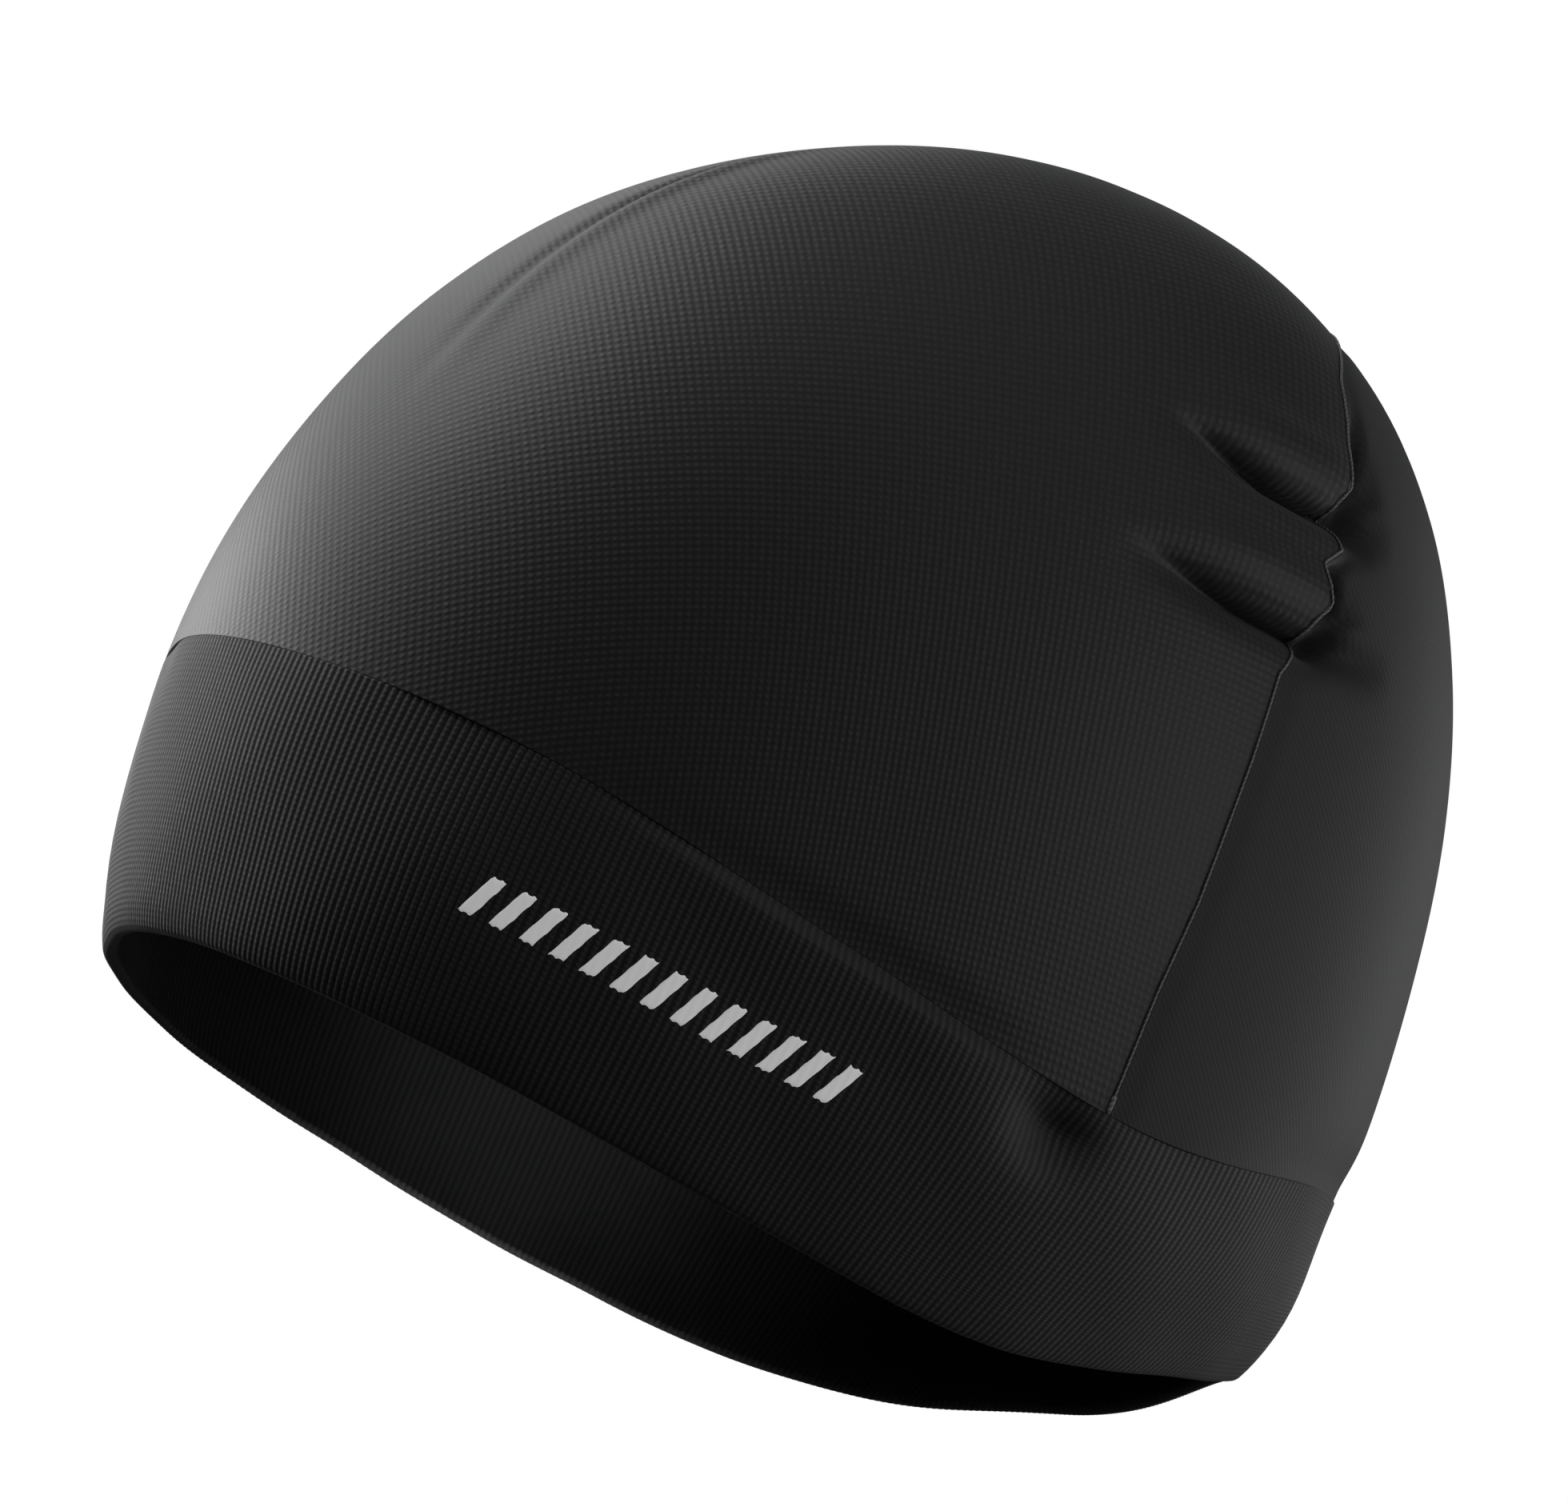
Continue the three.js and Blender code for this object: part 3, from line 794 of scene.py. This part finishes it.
def tube(name, path, normals, radius_of, sides, material):
    """A closed tube along a path, as wide across and as high along the normal as radius_of says."""
    ahead = np.gradient(path, axis=0)
    ahead /= np.linalg.norm(ahead, axis=1, keepdims=True)
    aside = np.cross(ahead, normals)
    aside /= np.linalg.norm(aside, axis=1, keepdims=True)
    upward = np.cross(aside, ahead)
    run = run_along(path)
    width, rise = radius_of(run)
    angle = 2 * np.pi * np.arange(sides) / sides
    ring = (path[:, None] + aside[:, None] * (np.cos(angle)[None, :] * width[:, None])[..., None]
            + upward[:, None] * (np.sin(angle)[None, :] * rise[:, None])[..., None])
    ids = np.arange(len(path) * sides).reshape(len(path), sides)
    wrapped = np.hstack([ids, ids[:, :1]])
    faces = grid_quads(wrapped)[:, ::-1].tolist()
    ends = [ids[0].tolist(), ids[-1][::-1].tolist()]
    thing = make_mesh(name, ring.reshape(-1, 3), faces + ends, material)
    mesh = thing.data
    layer = mesh.uv_layers.new(name="thread")
    row, column = np.divmod(np.arange(len(faces)), sides)
    corners = [np.stack([(column + right) / sides * 2, run[row + down] / LOOP_HEIGHT], axis=1)
               for down, right in TURNED_CORNERS]
    uv = np.zeros((len(mesh.loops), 2))
    uv[:len(faces) * 4] = np.stack(corners, axis=1).reshape(-1, 2)
    layer.data.foreach_set("uv", uv.ravel())
    return thing


def seam_path():
    """The line of the back seam on the crown panel, from its left end over the arch to its right end."""
    margin = -SEAM_LINE["inset"]
    out = SEAM_LINE["out"]
    arch = arch_top(margin)
    rows_at = panel_rows(arch, SEAM_LINE["row_step"], SEAM_LINE["arch_rows"], [])[2:-1]
    azimuth = seam_azimuth(rows_at, margin)
    height = row_height(azimuth, *rows_at.T)
    above = height - edge_height(azimuth, BAND_TOP) - JOIN_GAP
    lift = crown_lift(azimuth, height, above) + out
    left = raised(azimuth, place_of(height + fold_down(azimuth, height)), lift)
    middle = raised(np.array([180.0]), place_of(np.array([arch])), np.array([out]))
    right = left[::-1] * [-1, 1, 1]
    return resample(np.vstack([left, middle, right]), SEAM_LINE["point_step"])


def surface_normals(path):
    """Normals of the worn form near the points of a path."""
    height = np.minimum(path[:, 2], TOP_HEIGHT - 0.5)
    place = place_of(height)
    _, front, back, side = catmull(PADDED, place).T
    half = (front + back) / 2
    centre = (back - front) / 2
    azimuth = np.degrees(np.arctan2(path[:, 0] / side, (centre - path[:, 1]) / half))
    for _ in range(3):
        guess = form_point(azimuth, place)
        turn = np.arctan2(path[:, 0] / side, (centre - path[:, 1]) / half) - np.arctan2(
            guess[:, 0] / side, (centre - guess[:, 1]) / half)
        azimuth = azimuth + np.degrees(turn)
    return form_normal(azimuth, place)


def stitched(run, thread):
    """Half width and half height of a thread along its run."""
    stitch = np.abs(np.sin(np.pi * run / thread["stitch"]))
    return thread["width"] + thread["wider"] * stitch, thread["rise"] + thread["higher"] * stitch


def build_seam(material):
    path = seam_path()
    normals = surface_normals(path)

    def radius_of(run):
        return stitched(run, SEAM_THREAD)

    return tube("back_seam_thread", path, normals, radius_of, SEAM_THREAD["sides"], material), path


def build_tack(name, path, material):
    """The bar of close stitches that locks an end of the back seam."""

    def radius_of(run):
        from_end = np.minimum(run, run[-1] - run)
        ends = np.maximum(np.sqrt(np.clip(from_end / TACK_TAPER, 0, 1)), TACK_END)
        width, rise = stitched(run, TACK_THREAD)
        return width * ends, rise * ends

    return tube(name, path, surface_normals(path), radius_of, TACK_THREAD["sides"], material)


def build_print(material):
    """A reflective strip of slanting bars along the band, each a thin film of ink over the ribs."""
    points, faces, uvs = [], [], []
    across_steps, up_steps = 13, 15
    for bar in range(PRINT["bars"]):
        centre = PRINT["from"] + (PRINT["to"] - PRINT["from"]) * (bar + 0.5) / PRINT["bars"]
        across = np.linspace(-0.5, 0.5, across_steps)[None, :]
        upward = np.linspace(0, 1, up_steps)[:, None]
        offset = across * PRINT["stroke"] + (upward - 0.5) * PRINT["slant"]
        start = centre + offset / PRINT["mm_per_degree"]
        rim_up = PRINT["low"] + upward * PRINT["tall"]
        share = rim_up / (edge_height(start, BAND_TOP) - rim_height(start))
        azimuth, height = band_place(start, share, 0)
        turns = start * RIBS / 360
        rib = RIB_DEPTH * (1 - rib_profile(turns))
        edge = np.minimum(0.5 - np.abs(across), 0.5 - np.abs(upward - 0.5))
        film = np.where(edge < 1e-6, -PRINT["sunk"] / 2, PRINT["film"])
        ground = band_out(azimuth, height, 0) - PRINT["into_grooves"] * rib
        top = raised(azimuth, place_of(height), ground + film)
        under = raised(azimuth, place_of(height), ground - PRINT["sunk"])
        count = across_steps * up_steps
        base = len(points) * count
        top_id = np.arange(count).reshape(up_steps, across_steps) + base
        points.append(top.reshape(-1, 3))
        under_id = top_id + count
        points.append(under.reshape(-1, 3))
        rim_ids = np.concatenate([top_id[0], top_id[1:, -1], top_id[-1, -2::-1], top_id[-2:0:-1, 0]])
        below = rim_ids + count
        side = np.stack([rim_ids, below, np.roll(below, -1), np.roll(rim_ids, -1)], axis=1)
        faces += [grid_quads(top_id), grid_quads(under_id)[:, ::-1], side]
        uvs += [np.stack([turns, height], axis=-1).reshape(-1, 2)] * 2
    faces = np.vstack(faces)
    uv = np.vstack(uvs)
    thing = make_mesh("reflective_bars", np.vstack(points), faces.tolist(), material)
    layer = thing.data.uv_layers.new(name="ribs")
    layer.data.foreach_set("uv", uv[faces.ravel()].ravel())
    return thing


crown = build_crown(crown_material())
back = build_back(jersey_material())
band = build_band(rib_material())
# The seam and its tacks carry the thread's light grey, which is painted highlight along the seam edge.
thread = highlit_thread_material()
seam, seam_line = build_seam(thread)
tacks = [
    build_tack("seam_tack_left", seam_line[:TACK_POINTS], thread),
    build_tack("seam_tack_right", seam_line[-TACK_POINTS:], thread),
]
bars = build_print(print_material())

for thing, node, slot in ((crown, "crown_panel", "crown_knit"), (back, "back_panel", "back_jersey"),
                          (band, "band", "rib_knit")):
    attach(thing, "root")
    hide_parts(node)
for thing in (seam, *tacks):
    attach(thing, "root")
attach(bars, "root")


# The camera: azimuth, elevation and roll in degrees, distance from its aim in metres, sensor and lens in mm.
CAMERA = {"azimuth": 82, "elevation": -12.6, "roll": 20.1, "distance": 1.0, "sensor": 36, "lens": 143.8}
CAMERA_AIM = Vector((0, -0.0206, -0.105))


def direction(azimuth, elevation):
    """A unit vector at an azimuth and an elevation in degrees."""
    angle = math.radians(azimuth)
    rise = math.radians(elevation)
    return Vector((math.sin(angle) * math.cos(rise), -math.cos(angle) * math.cos(rise), math.sin(rise)))


def aim_camera():
    """The photograph's view: from the wearer's left, a little below the rim, and rolled."""
    azimuth = math.radians(CAMERA["azimuth"])
    roll = math.radians(CAMERA["roll"])
    back_way = direction(CAMERA["azimuth"], CAMERA["elevation"])
    right = Vector((math.cos(azimuth), math.sin(azimuth), 0))
    upward = back_way.cross(right)
    turned_right = right * math.cos(roll) + upward * math.sin(roll)
    turned_up = upward * math.cos(roll) - right * math.sin(roll)
    camera = bpy.data.objects.new("camera", bpy.data.cameras.new("camera"))
    camera.data.sensor_width = CAMERA["sensor"]
    camera.data.lens = CAMERA["lens"]
    place = CAMERA_AIM + back_way * CAMERA["distance"]
    camera.matrix_world = Matrix((
        (turned_right.x, turned_up.x, back_way.x, place.x),
        (turned_right.y, turned_up.y, back_way.y, place.y),
        (turned_right.z, turned_up.z, back_way.z, place.z),
        (0, 0, 0, 1)))
    camera.data.clip_start = 0.01
    camera.data.clip_end = 50
    bpy.context.scene.collection.objects.link(camera)
    bpy.context.scene.camera = camera


# Lights: name, azimuth, elevation, height in metres, power in watts.
LIGHTS = [
    ("far_front", -46, 6, 0.3, 0.86),
    ("high_front", -10, 40, 0.5, 1.1),
    ("high_far_front", -60, 40, 0.5, 0.3),
    ("front", -20, 4, 0.3, 0.55),
    ("far_back", 205, 16, 0.5, 0.34),
    ("behind", 180, -3, 0.5, 0.42),
    ("left_back", 130, 15, 0.5, 0.35),
    ("high_side", 90, 60, 0.5, 0.12),
]
# They are all as wide, and as far from the point that they are aimed at.
LIGHT_DISTANCE = 0.9
LIGHT_WIDTH = 0.5
LIGHT_SPREAD = 90
LIT_MIDDLE = Vector((0, -0.015, -0.09))

# The small lamp below the opening that only shines up on the inside of the far wall: width, height, power
# in watts, spread in degrees.
HOLLOW_LIGHT = (0.05, 0.05, 0.0065, 20)
HOLLOW_PLACE = Vector((0.10, -0.04, -0.40))
HOLLOW_TARGET = Vector((-0.06, -0.03, -0.18))


def add_lamp(name, place, target, width, height, power, spread):
    """A soft rectangular lamp at a place, aimed at a target, with its spread in degrees."""
    data = bpy.data.lights.new(name, "AREA")
    data.shape = "RECTANGLE"
    data.size = width
    data.size_y = height
    data.energy = power
    data.spread = math.radians(spread)
    lamp = bpy.data.objects.new(name, data)
    lamp.location = place
    lamp.rotation_euler = (place - target).to_track_quat("Z", "Y").to_euler()
    bpy.context.scene.collection.objects.link(lamp)


def build_lights():
    for name, azimuth, elevation, height, power in LIGHTS:
        place = LIT_MIDDLE + direction(azimuth, elevation) * LIGHT_DISTANCE
        add_lamp(name, place, LIT_MIDDLE, LIGHT_WIDTH, height, power, LIGHT_SPREAD)
    add_lamp("hollow", HOLLOW_PLACE, HOLLOW_TARGET, *HOLLOW_LIGHT)


# The floor in metres, well below the held-up cap.
FLOOR_REACH = 12
FLOOR_LEVEL = -1.5


def build_floor():
    """A pale floor that glows a little for the camera alone."""
    floor_mesh = bpy.data.meshes.new("floor")
    sides = ((-1, -1), (1, -1), (1, 1), (-1, 1))
    corners = [(x * FLOOR_REACH, y * FLOOR_REACH, FLOOR_LEVEL) for x, y in sides]
    floor_mesh.from_pydata(corners, [], [(0, 1, 2, 3)])
    floor = bpy.data.objects.new("floor", floor_mesh)
    bpy.context.scene.collection.objects.link(floor)
    material = bpy.data.materials.new("pale_floor")
    material.use_nodes = True
    shader = material.node_tree.nodes["Principled BSDF"]
    shader.inputs["Base Color"].default_value = (0.78, 0.78, 0.78, 1)
    shader.inputs["Roughness"].default_value = 0.7
    shader.inputs["Emission Color"].default_value = (1, 1, 1, 1)
    seen_floor = new_node(material.node_tree, "ShaderNodeLightPath").outputs["Is Camera Ray"]
    glow = math_node(material.node_tree, "MULTIPLY", seen_floor, 0.6)
    material.node_tree.links.new(glow, shader.inputs["Emission Strength"])
    floor_mesh.materials.append(material)


def build_surround():
    """A plain surround that is white for the camera and lights the cap only softly."""
    world = bpy.data.worlds.new("studio")
    bpy.context.scene.world = world
    world.use_nodes = True
    tree = world.node_tree
    tree.nodes.clear()
    seen = new_node(tree, "ShaderNodeBackground", {0: (1, 1, 1, 1), 1: 1.0})
    soft = new_node(tree, "ShaderNodeBackground", {0: (1, 1, 1, 1), 1: 0.02})
    by_camera = new_node(tree, "ShaderNodeLightPath").outputs["Is Camera Ray"]
    mixed = new_node(tree, "ShaderNodeMixShader", {0: by_camera, 1: soft.outputs[0], 2: seen.outputs[0]})
    new_node(tree, "ShaderNodeOutputWorld", {0: mixed.outputs[0]})


aim_camera()
build_floor()
build_surround()
build_lights()
bpy.context.scene.view_settings.view_transform = "Standard"
bpy.context.scene.view_settings.look = "None"
